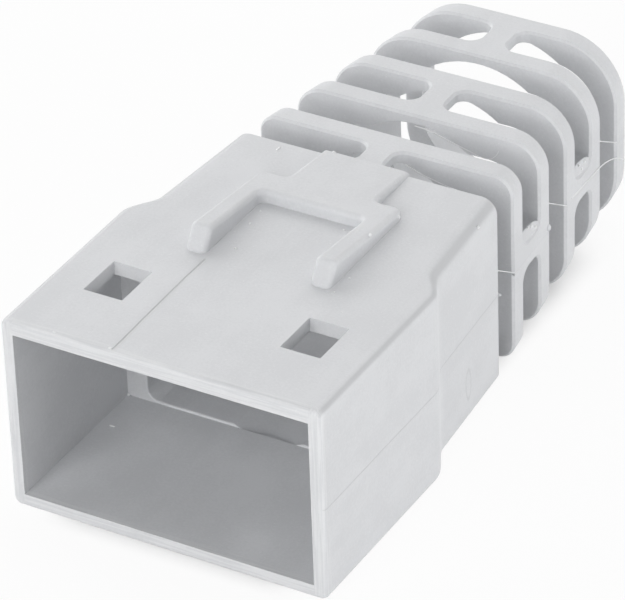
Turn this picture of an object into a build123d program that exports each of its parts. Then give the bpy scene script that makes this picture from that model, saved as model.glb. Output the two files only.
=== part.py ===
"""Cable sleeve: a moulded hood and ringed tail that slides over a modular plug and its cable.

The sleeve is one moulding. Its open mouth faces -Y, the cable leaves towards +Y, +X is to the
right of someone who looks into the mouth, and it rests on its flat underside at Z = 0. The
origin is the middle of the underside. All sizes are millimetres.
"""

import os
from math import atan2, cos, pi, sin

from build123d import *

# Plug and cable that the sleeve takes
plug_width = 11.68
plug_height = 6.6
plug_side_clearance = 0.26
plug_height_clearance = 0.2
cable_diameter = 7.0
cable_clearance = 0.2

# Outside of the hood
hood_side_wall = 0.53
hood_top_wall = 0.575
hood_length = 15.15
hood_front_length = 8.2
hood_neck_length = 1.8
hood_neck_inset = 0.64
hood_rear_inset = 0.41
hood_edge_radius = 0.33
hood_rear_top_radius = 0.64
hood_rear_bottom_radius = 0.48
mouth_rim_radius = 0.2
neck_steps = 6

# Inside of the hood
front_pocket_depth = 7.25
rear_pocket_wall = 0.6
rear_pocket_ledge = 0.89
rear_pocket_sill = 0.1
rear_pocket_radius = 0.5
rear_wall_thickness = 1.0
sill_edge_radius = 0.07

# Latch windows in the hood's top
window_width = 1.64
window_length = 2.1
window_spacing = 8.21
window_setback = 2.99

# Latch guard on the hood's top
guard_width = 6.1
guard_leg_width = 0.87
guard_leg_setback = 6.95
guard_tip_length = 0.62
guard_tip_foot = 0.08
guard_bar_setback = 11.07
guard_bar_length = 1.43
guard_pad_width = 3.74
guard_front_rise = 0.95
guard_back_rise = 0.12
guard_corner_radius = 0.3
guard_edge_radius = 0.22

# Ringed tail
ring_count = 5
ring_thickness = 0.95
ring_gap = 1.565
first_gap = 1.38
tail_end_width = 9.34
tail_root_corner_radius = 0.58
tail_end_corner_radius = 2.62
tail_side_wall = 0.8
tail_top_wall = 1.1
passage_root_radius = 1.1
passage_end_radius = 2.1
bridge_width = 1.16
slot_end_radius = 0.5
ring_edge_break = 0.1

# Sizes that follow from those above
mouth_width = plug_width + 2 * plug_side_clearance
mouth_height = plug_height + 2 * plug_height_clearance
hood_width = mouth_width + 2 * hood_side_wall
hood_height = mouth_height + 2 * hood_top_wall
neck_end_width = hood_width - 2 * hood_neck_inset
hood_rear_width = neck_end_width - 2 * hood_rear_inset
mid_height = hood_height / 2
opening_width = mouth_width - 2 * rear_pocket_ledge
opening_height = mouth_height - 2 * rear_pocket_sill
pocket_end_width = hood_rear_width - 2 * rear_pocket_wall
bore_diameter = cable_diameter + 2 * cable_clearance
tail_length = first_gap + ring_count * ring_thickness + (ring_count - 1) * ring_gap
overall_length = hood_length + tail_length

# Places along the sleeve
mouth_y = -overall_length / 2
neck_start_y = mouth_y + hood_front_length
neck_end_y = neck_start_y + hood_neck_length
hood_back_y = mouth_y + hood_length
tail_end_y = hood_back_y + tail_length
pocket_back_y = mouth_y + front_pocket_depth
rear_pocket_back_y = hood_back_y - rear_wall_thickness
ring_pitch = ring_thickness + ring_gap
gap_ends = [hood_back_y + first_gap + number * ring_pitch for number in range(ring_count)]
gap_starts = [hood_back_y] + [end + ring_thickness for end in gap_ends[:-1]]
gaps = list(zip(gap_starts, gap_ends))
ring_middles = [end + ring_thickness / 2 for end in gap_ends[:-1]]

# How far a cut runs past what it cuts, and how near counts as the same place
overshoot = 1.0
hair = 0.01


def across(y):
    """The plane square to the cable at y: its own x is +X and its own y is +Z."""
    return Plane.XZ.offset(-y)


def between(start, end, share):
    """The value that lies that share of the way from start to end."""
    return start + (end - start) * share


def hood_outline(width, top_radius, bottom_radius):
    """Draw the hood's outline, whose top and bottom corners have their own radii."""
    with Locations((0, mid_height)):
        Rectangle(width, hood_height)
    fillet(vertices().group_by(Axis.Y)[0], bottom_radius)
    fillet(vertices().group_by(Axis.Y)[-1], top_radius)


def tail_outline(y):
    """Width and corner radius of the tail at y."""
    share = (y - hood_back_y) / tail_length
    width = between(hood_rear_width, tail_end_width, share)
    return width, between(tail_root_corner_radius, tail_end_corner_radius, share)


def passage_outline(y):
    """Width and corner radius of the flat-sided passage inside the tail at y."""
    share = (y - hood_back_y) / tail_length
    width = tail_outline(y)[0] - 2 * tail_side_wall
    return width, between(passage_root_radius, passage_end_radius, share)


def break_slot_rims(start, end, cut_axis, offset_axis, middle):
    """Take the sharp edge off a gap's two slots where they open through the tail's skin."""
    edges = cable_sleeve.edges().filter_by_position(Axis.Y, start - hair, end + hair)
    reach = bridge_width / 2 + slot_end_radius + hair
    along_cut = edges.filter_by(cut_axis)
    inside = along_cut.filter_by_position(offset_axis, middle - reach, middle + reach)
    chamfer([edge for edge in edges if edge not in inside], ring_edge_break)


# The latch guard is a U of two legs and a crossbar, which runs back as a narrower pad
guard_foot = hood_height - hood_top_wall / 2
guard_bar_y = mouth_y + guard_bar_setback
guard_pad_y = guard_bar_y + guard_bar_length
guard_tip_y = mouth_y + guard_leg_setback
guard_slope = atan2(guard_front_rise - guard_back_rise, hood_back_y - guard_tip_y)
guard_top = Plane(
    origin=(0, hood_back_y, hood_height + guard_back_rise),
    x_dir=(1, 0, 0),
    z_dir=(0, sin(guard_slope), cos(guard_slope)),
)
nose_slope = atan2(guard_front_rise - guard_tip_foot, guard_tip_length)
guard_nose = Plane(
    origin=(0, guard_tip_y, hood_height + guard_tip_foot),
    x_dir=(1, 0, 0),
    z_dir=(0, -sin(nose_slope), cos(nose_slope)),
)

with BuildPart() as latch_guard:
    with BuildSketch(Plane.XY.offset(guard_foot)):
        with Locations((0, guard_bar_y)):
            Rectangle(guard_width, guard_bar_length, align=(Align.CENTER, Align.MIN))
        with Locations((0, guard_pad_y)):
            Rectangle(guard_pad_width, hood_back_y - guard_pad_y, align=(Align.CENTER, Align.MIN))
        for side in (-1, 1):
            with Locations((side * (guard_width - guard_leg_width) / 2, guard_tip_y)):
                leg_length = guard_bar_y - guard_tip_y
                Rectangle(guard_leg_width, leg_length, align=(Align.CENTER, Align.MIN))
        guard_corners = vertices().filter_by_position(Axis.Y, mouth_y, hood_back_y - hair)
        fillet(guard_corners, guard_corner_radius)
    extrude(amount=hood_top_wall + guard_front_rise + overshoot)
    split(bisect_by=guard_top, keep=Keep.BOTTOM)
    split(bisect_by=guard_nose, keep=Keep.BOTTOM)
    visible_edges = latch_guard.edges().filter_by_position(
        Axis.Z, hood_height + hair, hood_height + 2 * guard_front_rise
    )
    top_edges = visible_edges.filter_by_position(Axis.Y, mouth_y, hood_back_y - hair)
    upright_edges = top_edges.filter_by(Axis.Z)
    fillet([edge for edge in top_edges if edge not in upright_edges], guard_edge_radius)

with BuildPart() as cable_sleeve:
    # Front of the hood, with a rounded rim at the mouth
    with BuildSketch(across(neck_start_y)):
        hood_outline(hood_width, hood_edge_radius, hood_edge_radius)
    extrude(amount=hood_front_length)
    fillet(cable_sleeve.faces().sort_by(Axis.Y)[0].edges(), mouth_rim_radius)

    # Neck that eases in from the front of the hood to its rear
    for step in range(neck_steps + 1):
        share = step / neck_steps
        eased = (1 - cos(pi * share)) / 2
        with BuildSketch(across(between(neck_start_y, neck_end_y, share))):
            hood_outline(
                between(hood_width, neck_end_width, eased),
                between(hood_edge_radius, hood_rear_top_radius, eased),
                between(hood_edge_radius, hood_rear_bottom_radius, eased),
            )
    loft()

    # Rear of the hood
    for y, width in ((neck_end_y, neck_end_width), (hood_back_y, hood_rear_width)):
        with BuildSketch(across(y)):
            hood_outline(width, hood_rear_top_radius, hood_rear_bottom_radius)
    loft(ruled=True)

    # Tail as one tapered body, with a section in the middle of each ring
    for y in [hood_back_y] + ring_middles + [tail_end_y]:
        width, radius = tail_outline(y)
        with BuildSketch(across(y)):
            with Locations((0, mid_height)):
                RectangleRounded(width, hood_height, radius)
    loft(ruled=True)
    end_edges = cable_sleeve.faces().sort_by(Axis.Y)[-1].edges()
    chamfer(end_edges, ring_edge_break)

    # Every other gap keeps its bridges at the top and the bottom
    for start, end in gaps[0::2]:
        with BuildSketch(Plane.XY.offset(-overshoot)):
            with Locations((0, (start + end) / 2)):
                with GridLocations(bridge_width + hood_width, 0, 2, 1):
                    RectangleRounded(hood_width, end - start, slot_end_radius)
        extrude(amount=hood_height + 2 * overshoot, mode=Mode.SUBTRACT)
        break_slot_rims(start, end, Axis.Z, Axis.X, 0)

    # The gaps between them keep their bridges at the two sides
    for start, end in gaps[1::2]:
        with BuildSketch(Plane.YZ.offset(-hood_width)):
            with Locations(((start + end) / 2, mid_height)):
                with GridLocations(0, bridge_width + hood_height, 1, 2):
                    RectangleRounded(end - start, hood_height, slot_end_radius)
        extrude(amount=2 * hood_width, mode=Mode.SUBTRACT)
        break_slot_rims(start, end, Axis.X, Axis.Z, mid_height)

    # Latch guard on the top
    add(latch_guard.part)

    # Front pocket for the plug's body
    with BuildSketch(across(pocket_back_y)):
        with Locations((0, mid_height)):
            Rectangle(mouth_width, mouth_height)
    extrude(amount=front_pocket_depth + overshoot, mode=Mode.SUBTRACT)

    # Rear pocket, narrowing with the hood
    for y, width in ((pocket_back_y, opening_width), (rear_pocket_back_y, pocket_end_width)):
        with BuildSketch(across(y)):
            with Locations((0, mid_height)):
                RectangleRounded(width, opening_height, rear_pocket_radius)
    loft(ruled=True, mode=Mode.SUBTRACT)
    back_wall_edges = cable_sleeve.edges().filter_by_position(
        Axis.Y, pocket_back_y - hair, pocket_back_y + hair
    )
    opening_edges = back_wall_edges.filter_by_position(
        Axis.X, -opening_width / 2 - hair, opening_width / 2 + hair
    ).filter_by_position(
        Axis.Z, mid_height - opening_height / 2 - hair, mid_height + opening_height / 2 + hair
    )
    fillet(opening_edges, sill_edge_radius)

    # Flat-sided passage through the rear wall and the tail
    for y in (rear_pocket_back_y - overshoot, tail_end_y + overshoot):
        width, radius = passage_outline(y)
        with BuildSketch(across(y)):
            with Locations((0, mid_height)):
                RectangleRounded(width, hood_height - 2 * tail_top_wall, radius)
    loft(ruled=True, mode=Mode.SUBTRACT)

    # Round bore for the cable
    with BuildSketch(across(tail_end_y + overshoot)):
        with Locations((0, mid_height)):
            Circle(bore_diameter / 2)
    extrude(amount=tail_end_y + overshoot - pocket_back_y, mode=Mode.SUBTRACT)

    # Latch windows
    with BuildSketch(Plane.XY.offset(hood_height + overshoot)):
        with Locations((0, mouth_y + window_setback + window_length / 2)):
            with GridLocations(window_spacing, 0, 2, 1):
                Rectangle(window_width, window_length)
    extrude(amount=-(hood_top_wall + 2 * overshoot), mode=Mode.SUBTRACT)

cable_sleeve.part.label = "cable_sleeve"

os.makedirs("parts", exist_ok=True)
export_step(cable_sleeve.part, "parts/cable_sleeve.step")
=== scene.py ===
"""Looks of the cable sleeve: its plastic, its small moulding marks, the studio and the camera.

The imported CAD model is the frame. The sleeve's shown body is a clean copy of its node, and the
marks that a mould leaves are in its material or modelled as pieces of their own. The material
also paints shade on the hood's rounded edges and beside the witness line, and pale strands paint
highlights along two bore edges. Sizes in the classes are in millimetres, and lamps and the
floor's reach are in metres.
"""

import logging
import math
from dataclasses import dataclass
from enum import Enum
from typing import Any, Sequence, TypeAlias

import bpy
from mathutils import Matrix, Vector


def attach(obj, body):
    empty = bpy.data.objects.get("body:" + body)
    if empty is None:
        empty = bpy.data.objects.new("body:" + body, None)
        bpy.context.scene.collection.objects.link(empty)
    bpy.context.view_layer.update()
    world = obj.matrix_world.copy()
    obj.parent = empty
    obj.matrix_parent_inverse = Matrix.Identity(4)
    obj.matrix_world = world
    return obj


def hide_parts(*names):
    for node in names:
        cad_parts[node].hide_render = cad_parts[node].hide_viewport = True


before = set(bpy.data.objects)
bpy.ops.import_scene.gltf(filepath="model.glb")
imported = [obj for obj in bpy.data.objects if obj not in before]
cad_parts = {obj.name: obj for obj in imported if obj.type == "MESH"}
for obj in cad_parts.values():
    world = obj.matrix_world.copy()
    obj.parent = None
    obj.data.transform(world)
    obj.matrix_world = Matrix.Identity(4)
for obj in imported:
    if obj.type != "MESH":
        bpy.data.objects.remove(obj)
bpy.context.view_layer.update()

log = logging.getLogger("cable_sleeve")

MM = 0.001
BODY = "root"
SLEEVE_NODE = "cable_sleeve"
WHITE = (1, 1, 1, 1)
Point: TypeAlias = tuple[float, float, float]
Colour: TypeAlias = tuple[float, float, float]
Span: TypeAlias = tuple[float, float]
Term: TypeAlias = "Wire | float"


class Side(Enum):
    """The sleeve's two sides, as the sign of X."""

    LEFT = -1
    RIGHT = 1


class Wire:
    """A shader socket that adds Math nodes when it is used in an expression."""

    def __init__(self, shader: "Shader", socket: bpy.types.NodeSocket | None) -> None:
        """Wrap a socket.

        Args:
            shader: The shader that the socket's node belongs to.
            socket: The output socket to wrap, or None for a node that has no output.
        """
        self.shader = shader
        self.socket = socket

    def _math(self, operation: str, first: Term, second: Term) -> "Wire":
        """Add one Math node.

        Args:
            operation: The node's operation.
            first: Its first value or wire.
            second: Its second value or wire.

        Returns:
            The node's result.
        """
        return self.shader.node(
            "ShaderNodeMath", {"operation": operation}, {0: first, 1: second}
        )

    def __add__(self, other: Term) -> "Wire":
        """The sum."""
        return self._math("ADD", self, other)

    def __radd__(self, other: Term) -> "Wire":
        """The sum, with this wire on the right."""
        return self._math("ADD", other, self)

    def __sub__(self, other: Term) -> "Wire":
        """The difference."""
        return self._math("SUBTRACT", self, other)

    def __rsub__(self, other: Term) -> "Wire":
        """The difference, with this wire on the right."""
        return self._math("SUBTRACT", other, self)

    def __mul__(self, other: Term) -> "Wire":
        """The product."""
        return self._math("MULTIPLY", self, other)

    def __rmul__(self, other: Term) -> "Wire":
        """The product, with this wire on the right."""
        return self._math("MULTIPLY", other, self)


class Shader:
    """A material, or the world, whose nodes are written as expressions."""

    def __init__(self, name: str, world: bool = False) -> None:
        """Start an empty material or world.

        Args:
            name: Its name.
            world: Whether it is the world.
        """
        self.owner = (bpy.data.worlds if world else bpy.data.materials).new(name)
        self.output = "ShaderNodeOutputWorld" if world else "ShaderNodeOutputMaterial"
        self.owner.use_nodes = True
        self.tree = self.owner.node_tree
        self.tree.nodes.clear()

    def node(
        self,
        kind: str,
        settings: dict[str, Any] | None = None,
        inputs: dict[int | str, Any] | None = None,
        output: int | str = 0,
    ) -> Wire:
        """Add any node.

        Args:
            kind: The node's type.
            settings: Its own settings, which are set first.
            inputs: Values or wires by socket name or number.
            output: The name or number of the output to return.

        Returns:
            The wire of that output.
        """
        made = self.tree.nodes.new(kind)
        for key, setting in (settings or {}).items():
            setattr(made, key, setting)
        for key, value in (inputs or {}).items():
            if isinstance(value, Wire):
                self.tree.links.new(value.socket, made.inputs[key])
            else:
                made.inputs[key].default_value = value
        return Wire(self, made.outputs[output] if made.outputs else None)

    def place(self) -> Wire:
        """The place on the object, in metres."""
        return self.node("ShaderNodeTexCoord", output="Object")

    def parts(self, vector: Wire) -> tuple[Wire, Wire, Wire]:
        """The X, Y and Z of a vector.

        Args:
            vector: The vector to take apart.

        Returns:
            Its three parts.
        """
        split = self.node("ShaderNodeSeparateXYZ", {}, {"Vector": vector}).socket.node
        return tuple(Wire(self, output) for output in split.outputs)

    def facing(self) -> tuple[Wire, Wire, Wire]:
        """The X, Y and Z of the way that the surface faces."""
        return self.parts(self.node("ShaderNodeTexCoord", output="Normal"))

    def stretched(self, place: Wire, scale: Point) -> Wire:
        """The place, scaled by its own amount along each axis.

        Args:
            place: The place to scale.
            scale: Features to the metre along each axis.

        Returns:
            The scaled place.
        """
        return self.node("ShaderNodeMapping", {}, {"Vector": place, "Scale": scale})

    def noise(
        self, place: Wire, scale: float = 1.0, detail: float = 2.0, rough: float = 0.5
    ) -> Wire:
        """Noise from 0 to 1.

        Args:
            place: Where it is read.
            scale: Features to the unit of place.
            detail: Octaves.
            rough: How strong the finer octaves are.

        Returns:
            The noise's value.
        """
        inputs = {"Vector": place, "Scale": scale, "Detail": detail, "Roughness": rough}
        return self.node("ShaderNodeTexNoise", {"noise_dimensions": "3D"}, inputs)

    def spread(self, value: Wire, low: float, high: float) -> Wire:
        """A smooth step from 0 to 1 between two values.

        Args:
            value: The value to map.
            low: What becomes 0.
            high: What becomes 1.

        Returns:
            The stepped value.
        """
        return self.node(
            "ShaderNodeMapRange",
            {"interpolation_type": "SMOOTHSTEP"},
            {"Value": value, "From Min": low, "From Max": high},
        )

    def rise(self, value: Wire, span: Span) -> Wire:
        """A smooth step from 0 to 1 over a span of places.

        Args:
            value: The place to map, in metres.
            span: Where the step starts and ends, in millimetres.

        Returns:
            The stepped value.
        """
        start, end = span
        return self.spread(value, start * MM, end * MM)

    def fall(self, value: Wire, span: Span) -> Wire:
        """A smooth step from 1 to 0 over a span of places.

        Args:
            value: The place to map, in metres.
            span: Where the step starts and ends, in millimetres.

        Returns:
            The stepped value.
        """
        return 1.0 - self.rise(value, span)

    def size_of(self, value: Wire) -> Wire:
        """A value without its sign."""
        return self.node("ShaderNodeMath", {"operation": "ABSOLUTE"}, {0: value})

    def band(self, value: Wire, middle: float, reach: float) -> Wire:
        """A soft band around one value.

        Args:
            value: The value to map.
            middle: Where the band is 1.
            reach: How far from the middle it has fallen to 0.

        Returns:
            The band's strength.
        """
        return 1.0 - self.spread(self.size_of(value - middle), 0.0, reach)

    def bump(self, height: Wire, depth: float, below: Wire | None = None) -> Wire:
        """A relief for the Normal socket.

        Args:
            height: Its height from 0 to 1.
            depth: What 1 stands for, in millimetres.
            below: A relief that this one lies on.

        Returns:
            The relief's normal.
        """
        inputs = {"Height": height, "Distance": depth * MM, "Strength": 1.0}
        if below is not None:
            inputs["Normal"] = below
        return self.node("ShaderNodeBump", {}, inputs)

    def blend(self, share: Wire, first: Colour | Wire, second: Colour | Wire) -> Wire:
        """A mix of two colours.

        Args:
            share: How much of the second shows.
            first: The colour at 0.
            second: The colour at 1.

        Returns:
            The mixed colour.
        """
        first, second = (
            colour if isinstance(colour, Wire) else (*colour, 1.0) for colour in (first, second)
        )
        inputs = {0: share, 6: first, 7: second}
        return self.node("ShaderNodeMix", {"data_type": "RGBA"}, inputs, output=2)

    def shown_share(self) -> Wire:
        """1 for rays that look at the background, and 0 for the light it gives."""
        ways = ("Is Camera Ray", "Is Glossy Ray", "Is Transmission Ray")
        seen, glossy, through = (self.node("ShaderNodeLightPath", output=way) for way in ways)
        return self.spread(seen + glossy + through, 0.0, 1.0)

    def finish(self, surface: Wire) -> bpy.types.Material | bpy.types.World:
        """Connect the surface and hand over the material or world.

        Args:
            surface: The shader to show.

        Returns:
            What was finished.
        """
        self.node(self.output, {}, {"Surface": surface})
        return self.owner


@dataclass(frozen=True)
class RimScuffs:
    """Fine scuffs that run along the rim of the mouth."""

    length: float = 2.2
    width: float = 0.075
    upright_from: Span = (6.02, 6.18)
    behind_rim: Span = (-13.7, -13.3)

    def pattern(self, shader: Shader, place: Wire) -> tuple[Wire, Wire]:
        """The scuffs, level on the rim's top and bottom and upright on its sides.

        Args:
            shader: The plastic's shader.
            place: The place on the sleeve.

        Returns:
            The scuffs, and how far the surface is on the rim.
        """
        x, y, _ = shader.parts(place)
        long, short = 1 / (self.length * MM), 1 / (self.width * MM)
        level = shader.noise(shader.stretched(place, (long, short, short)), detail=1.0)
        upright = shader.noise(shader.stretched(place, (short, short, long)), detail=1.0)
        on_sides = shader.rise(shader.size_of(x), self.upright_from)
        return level + on_sides * (upright - level), shader.fall(y, self.behind_rim)


@dataclass(frozen=True)
class PaintedEdgeShade:
    """Painted shade on the hood's two long rounded edges, coloured darker than the faces beside
    them.
    """

    turned_from: Span = (0.25, 0.6)
    turned_to: Span = (0.76, 0.95)
    facing_up: Span = (0.15, 0.4)
    above: Span = (6.6, 7.2)
    outside: Span = (4.0, 4.6)
    behind_hood: Span = (1.2, 1.36)

    def strength(self, shader: Shader, place: Wire) -> Wire:
        """How strongly the painted shade shows, by where the surface lies and which way it
        faces.

        Args:
            shader: The plastic's shader.
            place: The place on the sleeve.

        Returns:
            The strength from 0 to 1.
        """
        x, y, z = shader.parts(place)
        facing_x, _, facing_z = shader.facing()
        outward = shader.size_of(facing_x)
        past_edge = shader.spread(outward, *self.turned_to)
        turned = shader.spread(outward, *self.turned_from) * (1.0 - past_edge)
        upper = shader.spread(facing_z, *self.facing_up) * shader.rise(z, self.above)
        outer = shader.rise(shader.size_of(x), self.outside)
        return turned * upper * outer * shader.fall(y, self.behind_hood)


@dataclass(frozen=True)
class WitnessLine:
    """The line along the hood's top, where two parts of the mould met, with painted shade beside
    it.
    """

    x: float = -2.146
    slant: float = 0.0151
    start: float = -13.66
    end: float = -7.0
    fade: float = 0.1
    reach: float = 0.055
    # The painted shade to either side of the line, standing for the shade of its shallow step.
    painted_shade_reach: float = 0.3
    painted_shade_share: float = 0.12
    on_top: Span = (7.95, 8.1)

    def strength(self, shader: Shader, place: Wire, wander: Wire) -> Wire:
        """How strongly the line and the painted shade beside it show.

        Args:
            shader: The plastic's shader.
            place: The place on the sleeve.
            wander: How far the line strays, in metres.

        Returns:
            The strength from 0 to 1, or a little over.
        """
        x, y, z = shader.parts(place)
        behind_rim = shader.rise(y, (self.start, self.start + self.fade))
        before_leg = shader.fall(y, (self.end - self.fade, self.end))
        slanted = x + self.slant * y + wander
        fine = shader.band(slanted, self.x * MM, self.reach * MM)
        # Painted shade: a broad soft darkening to either side of the fine line.
        painted_step_shade = shader.band(slanted, self.x * MM, self.painted_shade_reach * MM) * self.painted_shade_share
        return (fine + painted_step_shade) * shader.rise(z, self.on_top) * behind_rim * before_leg


@dataclass(frozen=True)
class PartingLine:
    """The line along the sleeve's sides, where the halves of the mould met."""

    z: float = 3.98
    reach: float = 0.04
    share: float = 0.5
    tail_loss: float = 0.3
    tail_from: Span = (1.3, 1.5)

    def strength(self, shader: Shader, place: Wire, wander: Wire, outward: Wire) -> Wire:
        """How strongly the line shows, which is less on the tail than on the hood.

        Args:
            shader: The plastic's shader.
            place: The place on the sleeve.
            wander: How far the line strays, in metres.
            outward: How far the surface is an outer side.

        Returns:
            The strength from 0 to 1.
        """
        _, y, z = shader.parts(place)
        share = self.share - self.tail_loss * shader.rise(y, self.tail_from)
        return shader.band(z + wander, self.z * MM, self.reach * MM) * outward * share


@dataclass(frozen=True)
class GateMark:
    """The outline of the oval on the right side, where the plastic entered the mould."""

    y: float = -1.57
    z: float = 1.72
    half_length: float = 0.225
    half_height: float = 0.64
    softness: float = 0.5
    share: float = 0.4
    side_from: Span = (5.2, 5.4)

    def strength(self, shader: Shader, place: Wire, outward: Wire) -> Wire:
        """How strongly the outline shows.

        Args:
            shader: The plastic's shader.
            place: The place on the sleeve.
            outward: How far the surface is an outer side.

        Returns:
            The strength from 0 to 1.
        """
        x, y, z = shader.parts(place)
        across = (y - self.y * MM) * (1 / (self.half_length * MM))
        upward = (z - self.z * MM) * (1 / (self.half_height * MM))
        outline = shader.band(across * across + upward * upward, 1.0, self.softness)
        return outline * shader.rise(x, self.side_from) * outward * self.share


@dataclass(frozen=True)
class MouldedPlastic:
    """Light grey soft plastic with a fine satin surface, the marks its mould left and painted
    shade.
    """

    name: str = "sleeve_grey_plastic"
    light: Colour = (0.64, 0.648, 0.664)
    dark: Colour = (0.598, 0.606, 0.622)
    dust: Colour = (0.74, 0.745, 0.75)
    line: Colour = (0.37, 0.375, 0.385)
    # The colour of the painted shade on the hood's rounded edges.
    edge_shade_colour: Colour = (0.47, 0.477, 0.49)
    scuffed: Colour = (0.575, 0.583, 0.597)
    roughness: float = 0.5
    refraction: float = 1.49
    cloud_size: float = 2.6
    flow_size: float = 0.9
    flow_stretch: float = 5.0
    grain_size: float = 0.11
    dust_size: float = 0.07
    tone_mix: tuple[float, float, float] = (0.45, 0.2, 0.35)
    tone_span: Span = (0.4, 0.6)
    dust_span: Span = (0.7, 0.78)
    scuff_span: Span = (0.36, 0.62)
    dust_share: float = 0.6
    edge_shade_share: float = 0.75
    scuff_share: float = 0.4
    line_share: float = 0.6
    cloud_gloss: float = 0.1
    grain_gloss: float = 0.06
    relief_mix: tuple[float, float, float] = (0.6, 0.5, 0.8)
    relief_depth: float = 0.006
    line_depth: float = 0.03
    line_wander: float = 0.08
    outer_sides: Span = (3.4, 4.0)
    scuffs: RimScuffs = RimScuffs()
    edges: PaintedEdgeShade = PaintedEdgeShade()
    witness: WitnessLine = WitnessLine()
    parting: PartingLine = PartingLine()
    gate: GateMark = GateMark()

    def make(self) -> bpy.types.Material:
        """Build the material.

        Returns:
            The plastic's material.
        """
        shader = Shader(self.name)
        place = shader.place()
        clouds = shader.noise(place, 1 / (self.cloud_size * MM), 3.0, 0.55)
        along = 1 / (self.flow_size * MM)
        flow = shader.noise(shader.stretched(place, (along, along / self.flow_stretch, along)))
        grain = shader.noise(place, 1 / (self.grain_size * MM), 2.0, 0.6)
        scuffs, on_rim = self.scuffs.pattern(shader, place)
        lines = self._lines(shader, place, clouds)

        of_clouds, of_flow, of_grain = self.tone_mix
        tone = of_clouds * clouds + of_flow * flow + of_grain * grain
        colour = shader.blend(shader.spread(tone, *self.tone_span), self.dark, self.light)
        dust = shader.noise(place, 1 / (self.dust_size * MM), 1.0)
        specks = shader.spread(dust, *self.dust_span) * self.dust_share
        colour = shader.blend(specks, colour, self.dust)
        # Painted shade: the upward-turned part of the hood's rounded edges is coloured darker.
        edges = self.edges.strength(shader, place) * self.edge_shade_share
        colour = shader.blend(edges, colour, self.edge_shade_colour)
        scuffed = shader.blend(shader.spread(scuffs, *self.scuff_span), self.scuffed, self.dust)
        colour = shader.blend(on_rim * self.scuff_share, colour, scuffed)
        # The lines, with the painted shade beside the witness line.
        colour = shader.blend(lines * self.line_share, colour, self.line)

        duller = self.cloud_gloss * (clouds - 0.5)
        roughness = self.roughness + duller + self.grain_gloss * (grain - 0.5)
        carved = shader.bump(1.0 - lines, self.line_depth)
        of_grain, of_flow, of_scuffs = self.relief_mix
        fine = of_grain * grain + of_flow * flow + of_scuffs * scuffs * on_rim
        surface = shader.node(
            "ShaderNodeBsdfPrincipled",
            {},
            {
                "Base Color": colour,
                "Roughness": roughness,
                "IOR": self.refraction,
                "Normal": shader.bump(fine, self.relief_depth, carved),
            },
        )
        return shader.finish(surface)

    def _lines(self, shader: Shader, place: Wire, clouds: Wire) -> Wire:
        """The witness line with its painted shade, the parting line and the outline of the gate.

        Args:
            shader: The plastic's shader.
            place: The place on the sleeve.
            clouds: Soft noise that lets the lines wander.

        Returns:
            How strongly a line shows.
        """
        wander = (clouds - 0.5) * (self.line_wander * MM)
        outward = shader.rise(shader.facing()[0] * shader.parts(place)[0], self.outer_sides)
        witness = self.witness.strength(shader, place, wander)
        parting = self.parting.strength(shader, place, wander, outward)
        gate = self.gate.strength(shader, place, outward)
        return shader.node("ShaderNodeClamp", {}, {"Value": witness + parting + gate})


class Edit:
    """Edit mode on one object, with nothing else selected."""

    def __init__(self, target: bpy.types.Object) -> None:
        """Choose the object.

        Args:
            target: The mesh object to edit.
        """
        self.target = target

    def __enter__(self) -> "Edit":
        """Select the object alone and enter edit mode with everything in it selected."""
        select_only(self.target)
        bpy.ops.object.mode_set(mode="EDIT")
        bpy.ops.mesh.select_all(action="SELECT")
        return self

    def __exit__(self, *_: Any) -> None:
        """Go back to object mode."""
        bpy.ops.object.mode_set(mode="OBJECT")


def select_only(target: bpy.types.Object) -> None:
    """Make one object the only selected one, and the active one.

    Args:
        target: The object to select.
    """
    bpy.ops.object.select_all(action="DESELECT")
    target.select_set(True)
    bpy.context.view_layer.objects.active = target


def joined(name: str, parts: Sequence[bpy.types.Object]) -> bpy.types.Object:
    """Join several meshes into one piece.

    Args:
        name: The piece's name.
        parts: The objects to join.

    Returns:
        The joined object.
    """
    select_only(parts[0])
    for part in parts[1:]:
        part.select_set(True)
    bpy.ops.object.join()
    parts[0].name = name
    return parts[0]


def settle(piece: bpy.types.Object, material: bpy.types.Material) -> bpy.types.Object:
    """Put a finished piece's place into its mesh, give it its finish and let it ride.

    Args:
        piece: The finished piece.
        material: The material it shows.

    Returns:
        The same piece.
    """
    select_only(piece)
    bpy.ops.object.transform_apply(location=True, rotation=True, scale=True)
    piece.data.materials.clear()
    piece.data.materials.append(material)
    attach(piece, BODY)
    log.info("%s: %d faces", piece.name, len(piece.data.polygons))
    return piece


@dataclass(frozen=True)
class SleeveBody:
    """The moulding itself: the CAD node's shape with clean faces and even shading."""

    merge_distance: float = 0.002
    flat_angle: float = 0.6
    smooth_angle: float = 30.0

    def build(self) -> bpy.types.Object:
        """Copy the node, merge its triangles and shade it.

        Returns:
            The body's object.
        """
        select_only(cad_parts[SLEEVE_NODE])
        bpy.ops.object.duplicate(linked=False)
        body = bpy.context.view_layer.objects.active
        for key in list(body.keys()):
            del body[key]
        body.parent = None
        body.name = "sleeve_body"
        with Edit(body):
            bpy.ops.mesh.remove_doubles(threshold=self.merge_distance * MM)
            bpy.ops.mesh.dissolve_limited(angle_limit=math.radians(self.flat_angle))
        if body.data.has_custom_normals:
            bpy.ops.mesh.customdata_custom_splitnormals_clear()
        self._shade(body)
        return body

    def _shade(self, body: bpy.types.Object) -> None:
        """Smooth the rounded surfaces and keep the flat ones even.

        Args:
            body: The body to shade.
        """
        select_only(body)
        bpy.ops.object.shade_smooth_by_angle(angle=math.radians(self.smooth_angle))
        normals = body.modifiers.new("even_shading", "WEIGHTED_NORMAL")
        normals.keep_sharp = True
        bpy.ops.object.modifier_apply(modifier=normals.name)


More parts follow.
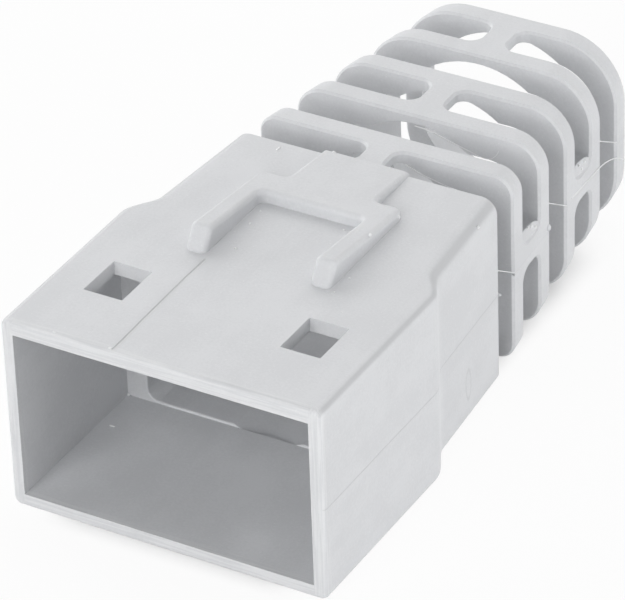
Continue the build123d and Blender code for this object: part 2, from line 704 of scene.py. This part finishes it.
@dataclass(frozen=True)
class Strand:
    """A thin strand: a thread of plastic that the mould drew out, or a pale line that paints a
    highlight.
    """

    points: Sequence[Point]
    radius: float = 0.02
    end_radius: float = 0.012
    steps: int = 6
    round_steps: int = 2
    smooth_angle: float = 50.0

    def build(self) -> bpy.types.Object:
        """Sweep a small round section along the points.

        Returns:
            The strand's object.
        """
        bpy.ops.object.select_all(action="DESELECT")
        bpy.ops.curve.primitive_nurbs_path_add()
        strand = bpy.context.view_layer.objects.active
        curve = strand.data
        curve.splines.clear()
        spline = curve.splines.new("NURBS")
        last = len(self.points) - 1
        spline.points.add(last)
        for number, (knot, point) in enumerate(zip(spline.points, self.points)):
            knot.co = (*[value * MM for value in point], 1.0)
            knot.radius = 1 + (self.end_radius / self.radius - 1) * number / last
        spline.order_u = 3
        spline.use_endpoint_u = True
        spline.resolution_u = self.steps
        curve.bevel_depth = self.radius * MM
        curve.bevel_resolution = self.round_steps
        curve.use_fill_caps = True
        select_only(strand)
        bpy.ops.object.convert(target="MESH")
        bpy.ops.object.shade_smooth_by_angle(angle=math.radians(self.smooth_angle))
        return strand


@dataclass(frozen=True)
class Speck:
    """A small raised grain of plastic."""

    place: Point
    half: Point
    unevenness: float = 0.12

    def build(self) -> bpy.types.Object:
        """Make an uneven rounded grain.

        Returns:
            The grain's object.
        """
        bpy.ops.object.select_all(action="DESELECT")
        bpy.ops.mesh.primitive_ico_sphere_add(subdivisions=3, radius=1.0)
        grain = bpy.context.view_layer.objects.active
        grain.scale = [value * MM for value in self.half]
        grain.location = [value * MM for value in self.place]
        bpy.ops.object.transform_apply(location=True, rotation=True, scale=True)
        with Edit(grain):
            bpy.ops.transform.vertex_random(
                offset=self.unevenness * min(self.half) * MM,
                seed=int(abs(sum(self.place)) * 100),
            )
        bpy.ops.object.shade_smooth()
        return grain


@dataclass(frozen=True)
class MouldLeftovers:
    """Threads, thin skins, nubs and grains left by the mould, and pale strands painting bore
    highlights.
    """

    # Painted highlights on the upper bore edges of gaps 1 and 2; the hook on the second is a
    # real thread.
    bore_highlights_and_thread: Sequence[Strand] = (
        Strand(
            ((0.93, 2.74, 7.6), (1.54, 2.73, 7.4), (2.06, 2.73, 7.28), (2.6, 2.74, 7.15),
             (3.2, 2.75, 7.08)),
            0.026,
        ),
        Strand(
            ((-0.05, 5.24, 7.7), (0.62, 5.22, 7.68), (1.14, 5.21, 7.53), (1.76, 5.22, 7.37),
             (2.37, 5.24, 7.2), (2.8, 5.24, 7.08), (3.2, 5.23, 7.08), (3.5, 5.24, 7.36),
             (3.56, 5.25, 7.56)),
            0.026,
        ),
    )
    gap_threads: Sequence[Strand] = (
        Strand(((5.56, 1.3, 5.04), (5.58, 2.0, 4.6), (5.46, 2.84, 4.02))),
        Strand(((5.2, 6.14, 5.2), (5.24, 6.95, 4.68), (5.1, 7.87, 4.08))),
        Strand(((4.84, 11.17, 5.12), (4.88, 11.95, 4.66), (4.73, 12.9, 4.1))),
        Strand(
            ((5.07, 8.3, 4.16), (4.99, 9.4, 4.08), (4.92, 10.46, 4.02), (4.88, 11.3, 3.96),
             (4.84, 12.06, 3.78), (4.72, 13.1, 3.3), (4.68, 13.68, 2.86)),
            0.024,
            0.02,
        ),
    )
    grains: Sequence[Speck] = (
        Speck((-3.48, 0.8, 8.15), (0.05, 0.15, 0.04)),
        Speck((-1.37, 1.35, 8.27), (0.08, 0.06, 0.06)),
        Speck((-1.39, -5.94, 8.15), (0.06, 0.06, 0.045)),
        Speck((-1.77, -4.23, 8.15), (0.05, 0.045, 0.04)),
        Speck((-1.86, -3.3, 8.15), (0.035, 0.04, 0.03)),
        Speck((-1.9, -2.55, 8.15), (0.03, 0.03, 0.025)),
        Speck((3.03, -1.62, 8.34), (0.065, 0.08, 0.08)),
        Speck((3.03, -3.73, 8.76), (0.055, 0.06, 0.06)),
        Speck((1.53, -3.03, 8.15), (0.05, 0.045, 0.035)),
        Speck((0.4, -1.9, 8.15), (0.03, 0.035, 0.025)),
        Speck((3.29, -5.78, 8.15), (0.045, 0.04, 0.03)),
        Speck((3.26, -6.84, 8.15), (0.04, 0.05, 0.03)),
        Speck((6.55, -5.5, 3.86), (0.05, 0.05, 0.05)),
        Speck((5.63, -0.26, 7.88), (0.06, 0.08, 0.06)),
        Speck((-4.38, -13.6, 8.13), (0.1, 0.05, 0.04)),
        Speck((-2.05, -13.58, 8.13), (0.09, 0.07, 0.04)),
        Speck((-0.08, -13.72, 7.96), (0.12, 0.04, 0.07)),
        Speck((-5.55, -8.57, 0.58), (0.12, 0.05, 0.03)),
        Speck((-6.05, -6.56, 0.61), (0.06, 0.06, 0.06)),
        Speck((5.26, 4.6, 5.05), (0.07, 0.08, 0.08)),
        Speck((5.26, 4.9, 4.86), (0.08, 0.09, 0.08)),
        Speck((5.25, 4.76, 4.68), (0.06, 0.07, 0.06)),
        Speck((5.26, 4.35, 5.14), (0.05, 0.06, 0.05)),
        Speck((4.9, 9.75, 5.0), (0.06, 0.08, 0.06)),
        Speck((4.9, 9.5, 4.8), (0.07, 0.07, 0.07)),
        Speck((4.9, 9.3, 5.06), (0.05, 0.06, 0.05)),
    )
    gap_skins: Sequence[Speck] = (
        Speck((5.2, 4.4, 4.7), (0.09, 0.95, 0.46)),
        Speck((4.83, 9.4, 4.7), (0.09, 0.95, 0.46)),
    )
    nubs: Sequence[Speck] = (
        Speck((5.57, 1.37, 3.93), (0.09, 0.06, 0.07)),
        Speck((5.47, 2.8, 3.95), (0.06, 0.05, 0.05)),
        Speck((5.24, 6.06, 4.15), (0.09, 0.13, 0.14)),
    )

    def build(self) -> list[bpy.types.Object]:
        """Build every leftover, with the nubs on both sides.

        Returns:
            One piece for each kind.
        """
        nubs = [
            Speck((side.value * nub.place[0], *nub.place[1:]), nub.half)
            for side in Side
            for nub in self.nubs
        ]
        kinds = {
            "bore_highlights_and_thread": self.bore_highlights_and_thread,
            "gap_threads": self.gap_threads,
            "surface_grains": self.grains,
            "parting_nubs": [*nubs, *self.gap_skins],
        }
        return [joined(name, [part.build() for part in parts]) for name, parts in kinds.items()]


@dataclass(frozen=True)
class Floor:
    """A plain pale floor that shows white to the camera and still keeps a faint shadow."""

    reach: float = 2.0
    level: float = -0.02
    tone: float = 0.82
    shown_white: float = 0.93
    shaded_share: float = 0.8
    shade_sides: Span = (3.6, 5.6)
    shade_front: Span = (-14.5, -13.0)
    shade_back: Span = (8.0, 12.5)

    def build(self) -> bpy.types.Object:
        """Add the floor under the sleeve.

        Returns:
            The floor's object.
        """
        bpy.ops.object.select_all(action="DESELECT")
        bpy.ops.mesh.primitive_plane_add(size=2 * self.reach, location=(0, 0, self.level * MM))
        floor = bpy.context.view_layer.objects.active
        floor.name = "studio_floor"
        floor.data.materials.append(self._material())
        return floor

    def _material(self) -> bpy.types.Material:
        """The floor's material.

        Returns:
            A pale matt material that shows nearly white to the camera, less under the sleeve.
        """
        shader = Shader("floor_white")
        x, y, _ = shader.parts(shader.place())
        inside = shader.fall(shader.size_of(x), self.shade_sides)
        before = shader.fall(y, self.shade_back)
        behind = shader.rise(y, self.shade_front)
        shaded = self.shaded_share * inside * before * behind
        seen = shader.shown_share() * self.shown_white * (1.0 - shaded)
        tone = (self.tone, self.tone, self.tone, 1.0)
        matt = shader.node("ShaderNodeBsdfDiffuse", {}, {"Color": tone})
        white = shader.node("ShaderNodeEmission", {}, {"Color": WHITE, "Strength": 1.0})
        inputs = {0: seen, 1: matt, 2: white}
        return shader.finish(shader.node("ShaderNodeMixShader", {}, inputs))


@dataclass(frozen=True)
class SoftBox:
    """A studio lamp that faces the sleeve."""

    name: str
    direction: Point
    power: float
    size: tuple[float, float] = (0.25, 0.25)
    distance: float = 0.35

    def build(self) -> bpy.types.Object:
        """Add the lamp.

        Returns:
            The lamp's object.
        """
        lamp = bpy.data.lights.new(self.name, "AREA")
        lamp.shape = "RECTANGLE"
        lamp.size, lamp.size_y = self.size
        lamp.energy = self.power
        holder = bpy.data.objects.new(self.name, lamp)
        bpy.context.scene.collection.objects.link(holder)
        way = Vector(self.direction).normalized()
        holder.location = way * self.distance
        holder.rotation_euler = way.to_track_quat("Z", "Y").to_euler()
        return holder


@dataclass(frozen=True)
class Studio:
    """Floor, lamps and surroundings."""

    surroundings: float = 0.18
    lamps: Sequence[SoftBox] = (
        SoftBox("front_lamp", (0.0, -1.0, 0.6), 0.62),
        SoftBox("low_front_lamp", (0.0, -1.0, 0.12), 0.275, (0.2, 0.2)),
        SoftBox("front_left_lamp", (-0.8, -0.8, 0.5), 0.07),
        SoftBox("left_lamp", (-1.0, 0.1, 0.35), 0.48),
        SoftBox("left_back_lamp", (-0.8, 0.8, 0.7), 0.31),
        SoftBox("back_lamp", (0.1, 1.0, 0.7), 0.31),
        SoftBox("low_right_lamp", (1.0, 0.1, 0.12), 0.49, (0.2, 0.2)),
        SoftBox("low_right_strip", (1.0, 0.0, 0.0), 0.0145, (0.12, 0.014), 0.045),
        SoftBox("top_lamp", (0.16, 0.3, 1.0), 0.1, (0.08, 0.08)),
    )

    def build(self) -> None:
        """Set up the whole studio."""
        Floor().build()
        for lamp in self.lamps:
            lamp.build()
        self._build_world()

    def _build_world(self) -> None:
        """Give the scene an even pale surrounding that is seen as white."""
        shader = Shader("studio_white", world=True)
        lit, white = (
            shader.node("ShaderNodeBackground", {}, {"Color": WHITE, "Strength": strength})
            for strength in (self.surroundings, 1.0)
        )
        inputs = {0: shader.shown_share(), 1: lit, 2: white}
        bpy.context.scene.world = shader.finish(shader.node("ShaderNodeMixShader", {}, inputs))


@dataclass(frozen=True)
class PhotoCamera:
    """The photograph's long-lens camera."""

    place: Point = (76.639, -131.288, 102.542)
    turn: Point = (56.75003, 1.78443, 29.64754)
    lens: float = 276.289
    sensor_width: float = 36.0
    shift: tuple[float, float] = (-0.0024, -0.0016)

    def build(self) -> bpy.types.Object:
        """Add the camera and make it the scene's.

        Returns:
            The camera's object.
        """
        data = bpy.data.cameras.new("photo_camera")
        data.lens = self.lens
        data.sensor_width = self.sensor_width
        data.sensor_fit = "HORIZONTAL"
        data.clip_start = 0.01
        data.shift_x, data.shift_y = self.shift
        camera = bpy.data.objects.new("photo_camera", data)
        camera.location = [value * MM for value in self.place]
        camera.rotation_euler = [math.radians(value) for value in self.turn]
        bpy.context.scene.collection.objects.link(camera)
        bpy.context.scene.camera = camera
        return camera


def main() -> None:
    """Build the sleeve, its marks, the studio and the camera."""
    logging.basicConfig(level=logging.INFO)
    bpy.context.scene.view_settings.view_transform = "Standard"
    PhotoCamera().build()
    plastic = MouldedPlastic().make()
    body = settle(SleeveBody().build(), plastic)
    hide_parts(SLEEVE_NODE)
    # The pale plastic of the threads and grains; on the bore strands it paints highlights.
    pale = MouldedPlastic(
        name="sleeve_pale_flash_and_highlight", light=(0.8, 0.805, 0.815), dark=(0.75, 0.755, 0.765)
    ).make()
    for leftover in MouldLeftovers().build():
        settle(leftover, plastic if leftover.name == "parting_nubs" else pale)
    Studio().build()


if __name__ == "__main__":
    main()
